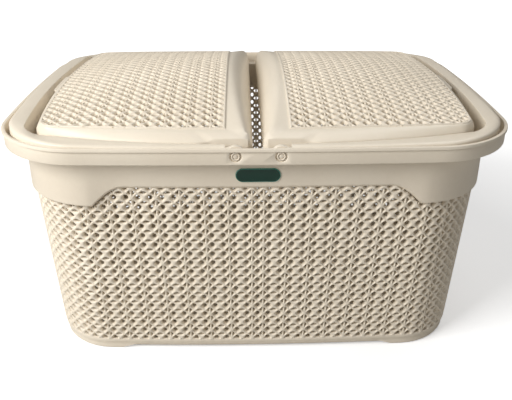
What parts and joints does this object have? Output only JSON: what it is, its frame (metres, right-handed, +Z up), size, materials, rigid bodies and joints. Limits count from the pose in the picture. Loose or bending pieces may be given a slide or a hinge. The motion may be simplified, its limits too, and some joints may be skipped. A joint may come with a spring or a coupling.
{
  "type": "lidded carrying basket",
  "caption": "Moulded plastic basket with knit-pattern walls, domed lids that open from the middle and fold-down loop handles.",
  "frame": {"origin": "centre of the overall outline, at the underside of the corner feet", "axes": "+X along the width from the left lid to the right lid, -Y towards the front with the badge, +Z up"},
  "size_m": [0.46, 0.345, 0.2452],
  "materials": {
    "cream_plastic": "satin moulded plastic",
    "pin_plastic": "satin moulded plastic",
    "badge_green": "dark green enamel on plastic, left bare"
  },
  "bodies": {
    "basket": {"basket_body": "cream_plastic", "badge_plate": "badge_green", "pivot_pin_front_left": "pin_plastic", "pivot_pin_front_right": "pin_plastic", "pivot_pin_back_left": "pin_plastic", "pivot_pin_back_right": "pin_plastic"},
    "lid_left": {"lid_left": "cream_plastic"},
    "lid_right": {"lid_right": "cream_plastic"},
    "handle_left": {"handle_left": "cream_plastic"},
    "handle_right": {"handle_right": "cream_plastic"}
  },
  "joints": [
    {"name": "lid_left_hinge", "type": "hinge", "parent": "basket", "child": "lid_left", "pos_m": [-0.036, 0, 0.212], "axis": [0, 1, 0], "range_deg": [0, 88]},
    {"name": "lid_right_hinge", "type": "hinge", "parent": "basket", "child": "lid_right", "pos_m": [0.036, 0, 0.212], "axis": [0, -1, 0], "range_deg": [0, 88]},
    {"name": "handle_left_pivot", "type": "hinge", "parent": "basket", "child": "handle_left", "pos_m": [-0.0186, 0, 0.212], "axis": [0, 1, 0], "range_deg": [0, 91]},
    {"name": "handle_right_pivot", "type": "hinge", "parent": "basket", "child": "handle_right", "pos_m": [0.0186, 0, 0.212], "axis": [0, -1, 0], "range_deg": [0, 91]}
  ]
}
